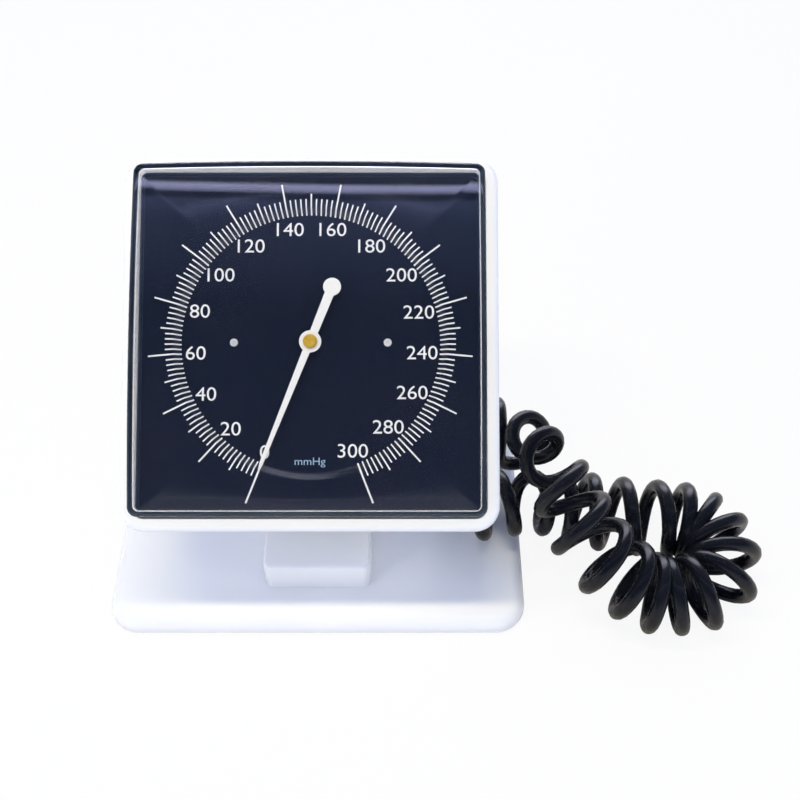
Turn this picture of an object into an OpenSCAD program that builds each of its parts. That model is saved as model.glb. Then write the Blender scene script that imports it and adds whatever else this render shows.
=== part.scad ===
// Desk aneroid sphygmomanometer: a square dial head that tilts on a flat stand, with a coiled air hose.
// Millimetres, +Z up. The origin is the middle of the base where it rests. The dial faces -Y.

/* [Head] */
// Width and height of the square head
head_w = 164; // [150:1:180]
// Depth of the housing from its front face to the rear cover
head_depth = 38; // [36:1:50]
// Corner radius of the housing seen from the front
head_r = 11; // [8:1:16]
// How far each side of the housing closes in towards the rear
head_taper = 5; // [2:0.5:8]
// Housing wall thickness
wall = 2.6; // [2:0.1:4]
// Tilt of the head back from upright, as built
tilt = 55; // [45:1:65]

/* [Clear cover] */
// Width and height of the cover
lens_w = 151; // [140:1:156]
// Height of the cover's crown above the housing front
lens_crown = 21.5; // [18:0.5:26]
// Radius of the dome
lens_dome_r = 700; // [500:10:1200]
// Thickness of the cover
lens_t = 2.2; // [1.5:0.1:3]

/* [Dial] */
// Width and height of the dial plate
dial_w = 146; // [136:1:146]
// Radius of the sunk middle of the dial
dial_disc_r = 57; // [50:0.5:60]
// Depth of the sunk middle
dial_sink = 2.8; // [1:0.1:3]
// Angle between straight down and each end of the scale
scale_gap = 21.4; // [15:0.1:30]

/* [Pointer] */
// Length of the pointer from its axis to its tip
pointer_l = 59.6; // [50:0.1:62]
// Distance from the axis to the middle of the counterweight
tail_l = 25.7; // [20:0.1:32]
// Radius of the counterweight
tail_r = 3.9; // [3:0.1:6]

/* [Gears] */
// Gear module
gear_m = 0.5; // [0.4:0.05:0.5]
// Teeth on the pointer's pinion
pinion_n = 12; // [12:1:14]
// Turns of the pinion for one turn of the sector
gear_ratio = 10; // [9:1:10]

/* [Stand] */
// Width of the base
base_w = 196; // [180:1:220]
// Depth of the base
base_d = 124; // [110:1:140]
// Thickness of the base shell
base_h = 8; // [7:0.5:12]
// Corner radius of the base seen from above
base_r = 15; // [10:1:25]
// Radius of the base's rounded top edge
base_edge = 6; // [2:0.5:6]
// Width of the pedestal
pedestal_w = 50; // [40:1:70]
// Height of the pedestal above the base
pedestal_h = 17.5; // [12:0.5:20]
// Width of the neck between the hinge ears
neck_w = 30; // [20:1:36]

/* [Hinge] */
// Height of the tilt axis above the table
hinge_z = 42; // [40:1:46]
// Radius of the hinge pin
pin_r = 2.5; // [2:0.1:3]
// Radius of the neck's knuckle
knuckle_r = 8; // [7:0.5:8]

/* [Hose] */
// Outer diameter of the hose
hose_d = 7; // [6:0.5:7]
/* [Hidden] */

small = 0.01;
fit = 0.05;                 // clearance of screws, shafts and the clear cover in their seats
white = "#f2f2f4";
dial_black = "#141a26";

// Head, in the face frame: x to the right, y up the face, z out towards the viewer, 0 at the housing front
half = head_w/2;
rear_half = half - head_taper;
rear_z = -head_depth;       // rear end of the housing
cover_t = 2.5;              // rear cover thickness
cover_screw = 69;           // the rear cover's screws, from the middle
bracket_x = 23;
bracket_y = [-51, -69];
cover_z = rear_z - cover_t;
front_edge = 2.5;           // rounding of the housing's front edge
front_band = 8;             // straight part of the housing's side
ledge_z = -2.6;             // seat of the gasket
ledge_t = 2.4;
ledge_half = 69.5;          // half of the opening inside the ledge
gasket_t = 1;
lens_r = 4;
lens_gap = 0.9;
seal_t = 0.75;              // thickness of the seal's upstand around the cover
seal_top = 0.3;             // top of the upstand
dial_t = 1;
dial_z = -0.6;              // front of the dial's outer part
sunk_z = dial_z - dial_sink;
bevel_r = dial_disc_r + 2.6;
dial_screw_x = 33.5;
pointer_z = 0.4;
pointer_t = 0.7;

// Movement
pinion_r = gear_m*pinion_n/2;
sector_n = pinion_n*gear_ratio;
sector_r = gear_m*sector_n/2;
mesh_slack = 0.1;           // extra distance between the gear centres
centre_d = pinion_r + sector_r + mesh_slack;
mesh_angle = -30;           // direction from the pinion to the sector's axis
sector_x = centre_d*cos(mesh_angle);
sector_y = centre_d*sin(mesh_angle);
sweep = 360 - 2*scale_gap;  // pointer travel
swing = sweep/gear_ratio;   // sector travel
plate_w = 84;
plate_h = 52;
plate_t = 1.2;
chassis_z = -8;             // rear of the chassis plate
chassis_t = 1.4;
chassis_x = 73.5;
chassis_y = 20;
front_plate_z = chassis_z - plate_t;
back_plate_z = -17;         // front of the back plate
pillar_x = 37;
pillar_y = 20;
capsule_r = 28;
capsule_z = -28.2;          // front of the capsule
capsule_t = 6.8;
capsule_plate_z = -36;
capsule_stem_r = 36;
arbor_r = 0.9;
sector_arbor_r = 1.2;
drive_r = 4;                // drive pin's distance from the sector's axis
finger_r = 11;              // rocker finger's length
lever_r = -sector_y;        // rocker lever's length
rocker_z = -24;
rocker_half = asin(drive_r*sin(swing/2)/finger_r);  // half of the rocker's travel
drive_angle = 180 - swing/2;
drive_x = sector_x + drive_r*cos(drive_angle);
gear_z = -12.3;             // rear of the sector
gear_t = 1.4;
spring_z = -16;             // hairspring
spring_h = 0.8;
spring_r0 = 1.9;

// Hinge: distance of the tilt axis behind the housing front and below the dial's middle
hinge_y = -7;
hinge_back = 52;
hinge_drop = 62;
ear_gap = 0.9;              // from the neck's side to an ear, filled by a washer
ear_t = 4;
ear_r = 7;
bracket_t = 2.5;

// Hose outlet, on the rear cover
barb_x = 62;
barb_y = -45;

// Base
pad_t = 1;                  // rubber pad under the base
top_z = pad_t + base_h;    // top of the base
skin = 2.6;                 // thickness of the base's top
rim = 5;                    // width of the base's rim around the pocket
base_screw_x = 66;
base_screw_y = 46;
pedestal_screw_y = [-28, 4];
pedestal_y0 = -42;
pedestal_y1 = 14;
pedestal_z = top_z + pedestal_h;
neck_t = 16;

// Hose outlet in the face frame
barb_tip = cover_z - 11.4;
sleeve_z0 = cover_z - 22;   // thin end of the sleeve

// A point of the face frame in the part's frame
function from_face(p) = let (back = -p[2] - hinge_back, up = p[1] + hinge_drop)
    [p[0], hinge_y + back*cos(tilt) + up*sin(tilt), hinge_z - back*sin(tilt) + up*cos(tilt)];

// Routes of the hose, chosen by hand: x, y, z and, on the coil, the tube's radius.
// The coil runs down behind the head, over itself, round a U-turn and back under the head.
lead_route = concat([from_face([barb_x, barb_y, barb_tip]), from_face([barb_x, barb_y, sleeve_z0])],
    [[62, 15.5, 39.5], [63, 19.5, 33.8], [66, 23.5, 28.6], [71, 27, 23.8], [77, 29, 19.5],
    [83, 30, 16.5]]);
coil_route = [[81, 36, 28.2, 18.5], [90, 36, 28.4, 18.5], [98.5, 31, 31, 16.5],
    [103.5, 17, 47, 12], [109, -6, 58, 14.5], [115, -20, 54, 16.5], [123.5, -33, 44.5, 18.3],
    [133, -41.5, 34.5, 18.8], [146, -48.5, 24.5, 19], [158, -52, 19.6, 19],
    [170, -52, 19.4, 19], [180.5, -49.5, 19.4, 19], [188.5, -42, 19.4, 19],
    [191, -31, 19.4, 19], [188.5, -20, 19.4, 19], [180.5, -12.5, 19.4, 19],
    [169, -10, 19.4, 19], [156, -9, 19.4, 19], [142, -7, 19.4, 19], [129, -4.5, 19.6, 18.6],
    [117, -3.2, 21.2, 16.8], [108, -3.5, 23.6, 16], [99, -4.5, 26.6, 16.2],
    [90, -5.5, 27.6, 17.6], [80, -6.5, 27.4, 18], [70, -7, 26.4, 17]];
coil_joint = 10;            // point where the coil's two solids meet
tail_route = [[71, 6, 28], [70, 6.5, 24], [68.5, 9.5, 18.5], [64, 14, 14.2], [56, 19, 12.6],
    [45, 25, 12.6], [32, 31, 12.6], [19, 35.5, 13], [9, 37.3, 14.2], [2, 37.5, 14.6],
    [-6, 37.5, 14.6]];
connector_l = 28;
connector_r = 5.2;
nipple_r = 2.4;
nipple_l = 10;
tube_n = 10;
fat_n = 12;

function unit(v) = v/norm(v);
function xyz(p) = [p[0], p[1], p[2]];

// Direction of a route at its point i
function heading(route, i) =
    i == 0 ? unit(xyz(route[1]) - xyz(route[0])) :
    i == len(route) - 1 ? unit(xyz(route[i]) - xyz(route[i - 1])) :
    unit(unit(xyz(route[i + 1]) - xyz(route[i])) + unit(xyz(route[i]) - xyz(route[i - 1])));

function ring(p, t, r, n, ref) =
    let (a = unit(cross(t, ref)), b = cross(a, t))
    [for (k = [0:n - 1]) p + r*(cos(360*k/n)*a + sin(360*k/n)*b)];

// Round tube swept along the points first to last of a route; a point's fourth number is the
// radius there, and r is the radius of a route that has none
module tube(route, first, last, n, r = 0, ref = [0, 0, 1]) {
    count = last - first + 1;
    pts = [for (i = [first:last], q = ring(xyz(route[i]), heading(route, i),
        r > 0 ? r : route[i][3], n, ref)) q];
    sides = [for (i = [0:count - 2], k = [0:n - 1])
        let (k2 = (k + 1) % n, a = i*n + k, b = i*n + k2, c = a + n, d = b + n)
        each [[a, b, d], [a, d, c]]];
    caps = [[for (k = [n - 1:-1:0]) k], [for (k = [0:n - 1]) (count - 1)*n + k]];
    polyhedron(points = pts, faces = concat(sides, caps), convexity = 6);
}

// Places its children in the face frame of the tilted head
module on_face() {
    translate([0, hinge_y, hinge_z])
        rotate([-tilt, 0, 0])
        translate([0, -hinge_back, hinge_drop])
        rotate([90, 0, 0])
        children();
}

module at_corners(x, y) {
    for (sx = [-1, 1], sy = [-1, 1]) translate([sx*x, sy*y, 0]) children();
}

module rod(r, z0, z1, fn = 48) {
    translate([0, 0, z0]) cylinder(r = r, h = z1 - z0, $fn = fn);
}

// Flat plate with true round corners
module plate(w, h, r, z0, z1) {
    translate([0, 0, z0]) linear_extrude(height = z1 - z0) {
        square([w - 2*r, h], center = true);
        square([w, h - 2*r], center = true);
        at_corners(w/2 - r, h/2 - r) circle(r = r, $fn = 64);
    }
}

// Column with a rounded top edge
module soft_column(r, z0, z1, edge) {
    rotate_extrude($fn = 48) polygon(concat(
        [[0, z0], [r, z0], [r, z1 - edge]],
        [for (a = [15:15:90]) [r - edge + edge*cos(a), z1 - edge + edge*sin(a)]],
        [[0, z1]]));
}

// Block with round corners and a rounded top edge
module soft_block(w, d, r, z0, z1, edge) {
    hull() at_corners(w/2 - r, d/2 - r) soft_column(r, z0, z1, edge);
}

// Pan head screw along z, its head at the top, with a cross recess
module screw(r, head_r, head_h, length) {
    difference() {
        union() {
            rod(r, -length, small);
            rod(head_r, 0, head_h);
        }
        for (a = [0, 90]) rotate([0, 0, a])
            translate([-head_r*0.6, -head_r*0.12, head_h*0.45]) cube([head_r*1.2, head_r*0.24, head_h]);
    }
}

// ---- Stand ----

module base_shell() {
    color(white) difference() {
        soft_block(base_w, base_d, base_r, pad_t, top_z, base_edge);
        plate(base_w - 2*rim, base_d - 2*rim, base_r - rim, 0, top_z - skin);
        for (y = pedestal_screw_y) translate([0, y, 0]) rod(2 + fit, 0, top_z + 1);
    }
    color(white) at_corners(base_screw_x, base_screw_y) difference() {
        rod(4, pad_t + 2, top_z - skin + small);
        rod(1.3 + fit, 0, top_z - skin);
    }
}

module base_floor() {
    color("#d8d8dc") difference() {
        plate(base_w - 2*rim - 0.4, base_d - 2*rim - 0.4, base_r - rim, pad_t, pad_t + 1.8);
        at_corners(base_screw_x, base_screw_y) rod(1.3 + fit, 0, top_z);
        at_corners(base_screw_x, base_screw_y) rod(2.7, 0, pad_t + 0.9);
    }
}

module ballast_plate() {
    color("#6d7278") difference() {
        plate(172, 76, 4, pad_t + 1.9, pad_t + 4.9);
        plate(44, 67, 3, 0, top_z);
    }
}

// Non-slip pad under the whole base, open at the screws
module base_pad() {
    color("#2a2a2c") difference() {
        plate(base_w - 8, base_d - 8, base_r - 4, 0, pad_t);
        at_corners(base_screw_x, base_screw_y) rod(3.2, -1, pad_t + 1);
    }
}

module base_screws() {
    color("#b9bcc2") at_corners(base_screw_x, base_screw_y)
        translate([0, 0, pad_t + 0.9]) mirror([0, 0, 1]) screw(1.3, 2.5, 0.8, 4.2);
}

module pedestal() {
    color(white) difference() {
        union() {
            translate([0, (pedestal_y0 + pedestal_y1)/2, 0])
                soft_block(pedestal_w, pedestal_y1 - pedestal_y0, 4, top_z, pedestal_z, 1.5);
            translate([-neck_w/2, hinge_y - neck_t/2, top_z])
                cube([neck_w, neck_t, hinge_z - top_z]);
            translate([-neck_w/2, hinge_y, hinge_z]) rotate([0, 90, 0])
                cylinder(r = knuckle_r, h = neck_w, $fn = 96);
        }
        // hollow underside, with the screw bosses left standing
        difference() {
            translate([-pedestal_w/2 + 3, pedestal_y0 + 3, top_z - 1])
                cube([pedestal_w - 6, pedestal_y1 - pedestal_y0 - 6, pedestal_h - 2]);
            for (y = pedestal_screw_y) translate([0, y, 0]) rod(5, 0, pedestal_z);
            translate([-neck_w/2, hinge_y - neck_t/2, 0]) cube([neck_w, neck_t, pedestal_z]);
        }
        for (y = pedestal_screw_y) translate([0, y, 0]) rod(1.75 + fit, 0, top_z + 12);
        translate([-neck_w, hinge_y, hinge_z]) rotate([0, 90, 0])
            cylinder(r = pin_r + fit, h = 2*neck_w, $fn = 64);
    }
}

module pedestal_screws() {
    color("#b9bcc2") for (y = pedestal_screw_y) translate([0, y, top_z - skin])
        mirror([0, 0, 1]) screw(1.75, 3.4, 1.6, 12);
}

// Distance from the middle to an ear's outer face
ear_out = neck_w/2 + ear_gap + ear_t;

module hinge_pin() {
    color("#c4c7cc") translate([0, hinge_y, hinge_z]) rotate([0, 90, 0]) {
        rod(pin_r, -ear_out - 0.2, ear_out + 4.6, 64);
        difference() {
            rod(5, -ear_out - 3.4, -ear_out - 0.2, 64);
            translate([0, 0, -ear_out - 3.5]) cylinder(r = 2.3, h = 1.8, $fn = 6);
        }
    }
}

module hinge_nut() {
    color("#c4c7cc") translate([0, hinge_y, hinge_z]) rotate([0, 90, 0]) difference() {
        translate([0, 0, ear_out + 0.2]) cylinder(r = 5, h = 3.6, $fn = 6);
        rod(pin_r + fit, 0, 2*ear_out, 64);
    }
}

module friction_washers() {
    color("#8f6a3c") for (s = [-1, 1]) translate([s*(neck_w/2 + 0.4), hinge_y, hinge_z])
        rotate([0, 90, 0]) difference() {
            rod(6, -0.35, 0.35, 64);
            rod(pin_r + fit, -1, 1, 64);
        }
}

// ---- Head casing ----

module housing_body(w0, w1, r, z0, z1, z2, edge) {
    hull() {
        at_corners(w0 - r, w0 - r) soft_column(r, z1, z2, edge);
        at_corners(w1 - r, w1 - r) rod(r, z0, z0 + 0.5, 48);
    }
}

module front_housing() {
    color(white) on_face() {
        difference() {
            housing_body(half, rear_half, head_r, rear_z, -front_band, 0, front_edge);
            difference() {
                housing_body(half - wall, rear_half - wall, head_r - wall, rear_z - 1,
                    -front_band, -1, small);
                plate(head_w, head_w, 1, ledge_z - ledge_t, 1);
            }
            plate(lens_w + 2*lens_gap, lens_w + 2*lens_gap, lens_r + lens_gap, ledge_z, 1);
            plate(2*ledge_half, 2*ledge_half, 2, -2*front_band, 1);
        }
        // bosses for the rear cover's screws
        at_corners(cover_screw, cover_screw) difference() {
            rod(4.4, rear_z + 0.1, ledge_z - 1.5);
            rod(1.5 + fit, rear_z - 1, rear_z + 12);
        }
        // bosses that carry the chassis plate
        at_corners(chassis_x, chassis_y) difference() {
            rod(5, -26, chassis_z - fit);
            rod(1.3 + fit, -20, 0);
        }
    }
}

// Solid below a dome, from z0 up
module dome(crown, z0) {
    steps = 12;
    r_max = lens_w*0.75;
    rotate_extrude($fn = 180) polygon(concat(
        [[0, z0], [r_max, z0]],
        [for (i = [0:steps]) let (r = r_max*(1 - i/steps))
            [r, crown - lens_dome_r + sqrt(pow(lens_dome_r, 2) - r*r)]]));
}

module lens_cover() {
    bottom = ledge_z + gasket_t;
    inner_w = lens_w - 2*lens_t;
    color("#cfd6ff", 0.35) on_face() difference() {
        intersection() {
            plate(lens_w, lens_w, lens_r, bottom, lens_crown + 1);
            dome(lens_crown, bottom - 1);
        }
        intersection() {
            plate(inner_w, inner_w, lens_r - 1.5, bottom - 1, lens_crown);
            dome(lens_crown - lens_t, bottom - 2);
        }
    }
}

// Black seal that seats the cover and stands up around its edge
module lens_gasket() {
    outer_w = lens_w + 2*(fit + seal_t);
    color("#1c1c20") on_face() {
        difference() {
            plate(outer_w, outer_w, lens_r + seal_t, ledge_z, ledge_z + gasket_t);
            plate(2*ledge_half + 2, 2*ledge_half + 2, 2, ledge_z - 1, 0);
        }
        difference() {
            plate(outer_w, outer_w, lens_r + seal_t, ledge_z + gasket_t - small, seal_top);
            plate(lens_w + 2*fit, lens_w + 2*fit, lens_r, ledge_z, 1);
        }
    }
}

module dial_plate() {
    back = dial_z - dial_t;
    color(dial_black) on_face() difference() {
        union() {
            difference() {
                plate(dial_w, dial_w, 3, back, dial_z);
                rod(bevel_r + 0.5, back - 1, 0, 180);
            }
            rotate_extrude($fn = 180) polygon([[3, sunk_z - dial_t], [dial_disc_r + 0.3, sunk_z - dial_t],
                [bevel_r + 0.5, back], [bevel_r + 1, back], [bevel_r + 1, dial_z], [bevel_r, dial_z],
                [dial_disc_r, sunk_z], [3, sunk_z]]);
        }
        for (s = [-1, 1]) translate([s*dial_screw_x, 0, 0]) rod(1 + fit, sunk_z - 2, 0);
    }
}

module dial_screws() {
    color("#e8e8ec") on_face() for (s = [-1, 1]) translate([s*dial_screw_x, 0, sunk_z])
        screw(1, 1.75, 0.9, 5);
}

module dial_posts() {
    color("#b5a36a") on_face() for (s = [-1, 1]) translate([s*dial_screw_x, 0, 0]) difference() {
        rod(3, chassis_z + chassis_t, sunk_z - dial_t);
        rod(1 + fit, chassis_z, 0);
    }
}

module rear_cover() {
    w = 2*rear_half;
    color(white) on_face() difference() {
        union() {
            translate([0, 0, rear_z]) mirror([0, 0, 1]) soft_block(w, w, head_r, 0, cover_t, 1.8);
            difference() {
                plate(w - 2*wall - 0.6, w - 2*wall - 0.6, head_r - wall, rear_z - small, rear_z + 2);
                plate(w - 2*wall - 4, w - 2*wall - 4, head_r - wall - 1.5, rear_z - 1, rear_z + 3);
                at_corners(cover_screw, cover_screw) rod(4.8, rear_z - 1, rear_z + 3);
            }
            for (s = [-1, 1], y = bracket_y) translate([s*bracket_x, y, 0])
                rod(4, rear_z - small, rear_z + 5);
        }
        at_corners(cover_screw, cover_screw) rod(1.5 + fit, cover_z - 1, rear_z + 1);
        for (s = [-1, 1], y = bracket_y) translate([s*bracket_x, y, 0])
            rod(1.5 + fit, cover_z - 1, rear_z + 6);
        translate([barb_x, barb_y, 0]) rod(4 + fit, cover_z - 1, rear_z + 1);
        // vent slots
        for (x = [-30:6:30]) translate([x, 48, cover_z - 1]) cube([2.4, 14, cover_t + 2]);
    }
}

module rear_cover_screws() {
    color("#b9bcc2") on_face() at_corners(cover_screw, cover_screw) translate([0, 0, cover_z])
        mirror([0, 0, 1]) screw(1.5, 2.8, 1.8, 11);
}

module hinge_bracket() {
    plate_z = cover_z - bracket_t;
    color(white) on_face() difference() {
        union() {
            translate([0, -60, 0]) plate(58, 28, 4, plate_z, cover_z);
            for (s = [-1, 1]) translate([s*(neck_w/2 + ear_gap + ear_t/2), -hinge_drop, 0]) {
                translate([-ear_t/2, -ear_r, -hinge_back]) cube([ear_t, 2*ear_r, hinge_back + plate_z + 1]);
                translate([-ear_t/2, 0, -hinge_back]) rotate([0, 90, 0])
                    cylinder(r = ear_r, h = ear_t, $fn = 96);
            }
        }
        translate([0, -hinge_drop, -hinge_back]) rotate([0, 90, 0]) rod(pin_r + fit, -40, 40, 64);
        for (s = [-1, 1], y = bracket_y) translate([s*bracket_x, y, 0])
            rod(1.5 + fit, plate_z - 1, cover_z + 1);
    }
}

module bracket_screws() {
    color("#b9bcc2") on_face() for (s = [-1, 1], y = bracket_y)
        translate([s*bracket_x, y, cover_z - bracket_t]) mirror([0, 0, 1]) screw(1.5, 2.8, 1.6, 8.5);
}

// ---- Movement ----

module chassis_plate() {
    color("#9aa0a6") on_face() difference() {
        plate(156, 52, 4, chassis_z, chassis_z + chassis_t);
        rod(3, chassis_z - 1, 0);
        translate([sector_x, sector_y, 0]) rod(2.5, chassis_z - 1, 0);
        for (s = [-1, 1]) translate([s*dial_screw_x, 0, 0]) rod(1 + fit, chassis_z - 1, 0);
        at_corners(chassis_x, chassis_y) rod(1.3 + fit, chassis_z - 1, 0);
        for (s = [-1, 1]) translate([s*55, 0, 0]) rod(9, chassis_z - 1, 0);
    }
}

module chassis_screws() {
    color("#b9bcc2") on_face() at_corners(chassis_x, chassis_y) translate([0, 0, chassis_z + chassis_t])
        screw(1.3, 2.4, 1.4, 10);
}

module movement_front_plate() {
    color("#c9a954") on_face() difference() {
        plate(plate_w, plate_h, 4, front_plate_z, chassis_z);
        rod(arbor_r + fit, -30, 0);
        translate([sector_x, sector_y, 0]) rod(sector_arbor_r + fit, -30, 0);
        for (s = [-1, 1]) translate([s*dial_screw_x, 0, 0]) rod(1 + fit, -30, 0);
        at_corners(pillar_x, pillar_y) rod(1.2, -30, 0);
    }
}

module movement_back_plate() {
    color("#c9a954") on_face() difference() {
        plate(plate_w, plate_h, 4, back_plate_z - plate_t, back_plate_z);
        rod(arbor_r + fit, -30, 0);
        translate([sector_x, sector_y, 0]) rod(sector_arbor_r + fit, -30, 0);
        at_corners(pillar_x, pillar_y) rod(1.2, -30, 0);
        // slot for the rocker's finger
        translate([drive_x - 1.7, sector_y - 4.5, -30]) cube([3.1, 12, 20]);
    }
}

module movement_pillars() {
    color("#c9a954") on_face() at_corners(pillar_x, pillar_y) {
        rod(2.4, back_plate_z, front_plate_z);
        rod(1.2 - fit, front_plate_z - small, chassis_z - 0.1);
    }
}

module capsule_studs() {
    color("#b5a36a") on_face() at_corners(pillar_x, pillar_y) {
        rod(2.4, capsule_plate_z, back_plate_z - plate_t);
        rod(1.2 - fit, back_plate_z - plate_t - small, back_plate_z - 0.1);
        rod(1.2 - fit, capsule_plate_z - plate_t - 0.5, capsule_plate_z + small);
    }
}

module capsule_plate() {
    color("#9aa0a6") on_face() difference() {
        plate(plate_w, plate_h, 4, capsule_plate_z - plate_t, capsule_plate_z);
        at_corners(pillar_x, pillar_y) rod(1.2, -40, -30);
    }
}

// Rocker shaft's bearings, on the rear of the back plate
bearing_x = [-8, sector_x + 3.4];

module rocker_bearings() {
    color("#c9a954") on_face() for (x = bearing_x) difference() {
        translate([x - 1, sector_y - 3, rocker_z - 3]) cube([2, 6, back_plate_z - plate_t - rocker_z + 3]);
        translate([x, sector_y, rocker_z]) rotate([0, 90, 0]) rod(1.2 + fit, -2, 2);
    }
}

// Corrugated capsule with its mounting boss and its air stem
module capsule() {
    waves = 5;
    mid_z = capsule_z - capsule_t/2;
    front = [for (i = [0:2*waves]) [capsule_r - 2 - (capsule_r - 9)*i/(2*waves),
        mid_z + capsule_t/2 - (i % 2 == 0 ? 0.9 : 0.2)]];
    rear = [for (i = [2*waves:-1:0]) [capsule_r - 2 - (capsule_r - 9)*i/(2*waves),
        mid_z - capsule_t/2 + (i % 2 == 0 ? 0.9 : 0.2)]];
    color("#b98a4a") on_face() {
        rotate_extrude($fn = 96) polygon(concat(
            [[capsule_r, mid_z + 0.5]], front, [[5, capsule_z], [0, capsule_z]],
            [[0, capsule_z - capsule_t], [5, capsule_z - capsule_t]], rear, [[capsule_r, mid_z - 0.5]]));
        rod(5, capsule_plate_z, capsule_z - capsule_t + small);
        rotate([0, 0, -45]) translate([0, 0, mid_z]) rotate([0, 90, 0])
            rod(2, capsule_r - 4, capsule_stem_r);
    }
}

module push_pin() {
    color("#c4c7cc") on_face() {
        rod(4, capsule_z + 0.1, capsule_z + 0.7);
        rod(1.2, capsule_z + 0.6, rocker_z - lever_r*sin(rocker_half) - 0.9);
    }
}

module rocker_shaft() {
    color("#c4c7cc") on_face() translate([0, sector_y, rocker_z]) {
        rotate([0, 90, 0]) rod(1.2, bearing_x[0] - 1.5, bearing_x[1] + 1.5);
        rotate([-rocker_half, 0, 0]) {
            translate([-1.5, 0, -0.6]) cube([3, lever_r + 2, 1.2]);
            translate([drive_x - 1, 0.95, 0]) cube([2, 1.4, finger_r + 0.3]);
            translate([drive_x - 1, -0.5, -0.6]) cube([2, 2.8, 1.6]);
        }
    }
}

// Involute tooth flanks
function involute(a) = tan(a)*180/PI - a;
function half_tooth(r, pitch_r, n, slack) =
    let (base_r = pitch_r*cos(20), a = r <= base_r ? 0 : acos(base_r/r))
    90/n - slack/pitch_r*180/PI + involute(20) - involute(a);
function tooth(pitch_r, n, slack, at) =
    let (root = pitch_r - 1.25*gear_m, tip = pitch_r + gear_m, steps = 4,
        rs = [for (i = [0:steps]) root + (tip - root)*i/steps])
    concat([for (r = rs) let (a = at - half_tooth(r, pitch_r, n, slack)) r*[cos(a), sin(a)]],
        [for (i = [steps:-1:0]) let (r = rs[i], a = at + half_tooth(r, pitch_r, n, slack))
            r*[cos(a), sin(a)]]);

module sector_gear() {
    tooth_pitch = 360/sector_n;
    root = sector_r - 1.25*gear_m;
    to_pinion = 180 + mesh_angle;
    first = -ceil((swing + 5)/tooth_pitch);
    last = 2;
    a0 = to_pinion + (first - 0.5)*tooth_pitch;
    a1 = to_pinion + (last + 0.5)*tooth_pitch;
    rim_w = 3;
    hub_r = 6;
    arc = [for (i = [0:16]) a0 + (a1 - a0)*i/16];
    color("#d3b765") on_face() translate([sector_x, sector_y, 0]) {
        translate([0, 0, gear_z]) linear_extrude(height = gear_t) {
            for (k = [first:last]) polygon(tooth(sector_r, sector_n, 0.06, to_pinion + k*tooth_pitch));
            polygon(concat([for (a = arc) (root + 0.05)*[cos(a), sin(a)]],
                [for (i = [16:-1:0]) (root - rim_w)*[cos(arc[i]), sin(arc[i])]]));
            for (a = [a0 + 3, a1 - 3]) rotate([0, 0, a]) translate([hub_r - 1, -1.2])
                square([root - hub_r, 2.4]);
            difference() {
                circle(r = hub_r, $fn = 48);
                circle(r = sector_arbor_r, $fn = 48);
            }
        }
        rotate([0, 0, drive_angle]) translate([drive_r, 0, 0]) rod(0.8, gear_z - 1.8, gear_z + small);
    }
}

module sector_arbor() {
    color("#c4c7cc") on_face() translate([sector_x, sector_y, 0])
        rod(sector_arbor_r, back_plate_z - plate_t - 0.5, chassis_z + 0.5);
}

module pinion() {
    tooth_pitch = 360/pinion_n;
    color("#d3b765") on_face() translate([0, 0, gear_z - 0.6]) linear_extrude(height = gear_t + 1.2)
        difference() {
            union() {
                for (k = [0:pinion_n - 1])
                    polygon(tooth(pinion_r, pinion_n, 0.06, mesh_angle + (k + 0.5)*tooth_pitch));
                circle(r = pinion_r - 1.25*gear_m + 0.05, $fn = 48);
            }
            circle(r = arbor_r, $fn = 48);
        }
}

module pinion_arbor() {
    color("#c4c7cc") on_face() {
        rod(arbor_r, back_plate_z - plate_t - 0.5, pointer_z + pointer_t);
        // collet of the hairspring
        rod(spring_r0 - 0.05, spring_z - 0.2, spring_z + spring_h + 0.2);
    }
}

// Flat spiral spring around the pointer's arbor
module hairspring() {
    turns = 5;
    band = 0.25;
    spring_r1 = 9;
    path = [for (a = [0:15:360*turns])
        [a, spring_r0 + (spring_r1 - spring_r0)*a/(360*turns)]];
    color("#b98a4a") on_face() {
        translate([0, 0, spring_z]) linear_extrude(height = spring_h) polygon(concat(
            [for (p = path) (p[1] + band)*[cos(p[0]), sin(p[0])]],
            [for (i = [len(path) - 1:-1:0]) path[i][1]*[cos(path[i][0]), sin(path[i][0])]]));
        translate([spring_r1 + 0.9, 0, 0]) rod(0.8, back_plate_z + small, spring_z + spring_h + 0.4);
    }
}

// White pointer, turned to the scale's zero
module pointer() {
    color("#fafafa") on_face() rotate([0, 0, -90 - scale_gap]) {
        translate([0, 0, pointer_z]) linear_extrude(height = pointer_t) difference() {
            union() {
                polygon([[0, -1.7], [pointer_l - 3, -0.8], [pointer_l, -0.25],
                    [pointer_l, 0.25], [pointer_l - 3, 0.8], [0, 1.7]]);
                polygon([[0, -1.7], [0, 1.7], [-tail_l, 2.1], [-tail_l, -2.1]]);
                translate([-tail_l, 0]) circle(r = tail_r, $fn = 64);
                circle(r = 4.8, $fn = 64);
            }
            circle(r = arbor_r, $fn = 48);
        }
        difference() {
            rod(2.2, sunk_z + 0.6, pointer_z + small);
            rod(arbor_r, sunk_z, pointer_z + 1);
        }
    }
}

module pointer_cap() {
    z0 = pointer_z + pointer_t;
    color("#d9a53a") on_face() rotate_extrude($fn = 64) polygon(concat(
        [[0, z0 + small], [3.1, z0 + small], [3.1, z0 + 1]],
        [for (a = [15:15:90]) [2.3 + 0.8*cos(a), z0 + 1 + 0.8*sin(a)]],
        [[0, z0 + 1.8]]));
}

// ---- Air line ----

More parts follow.
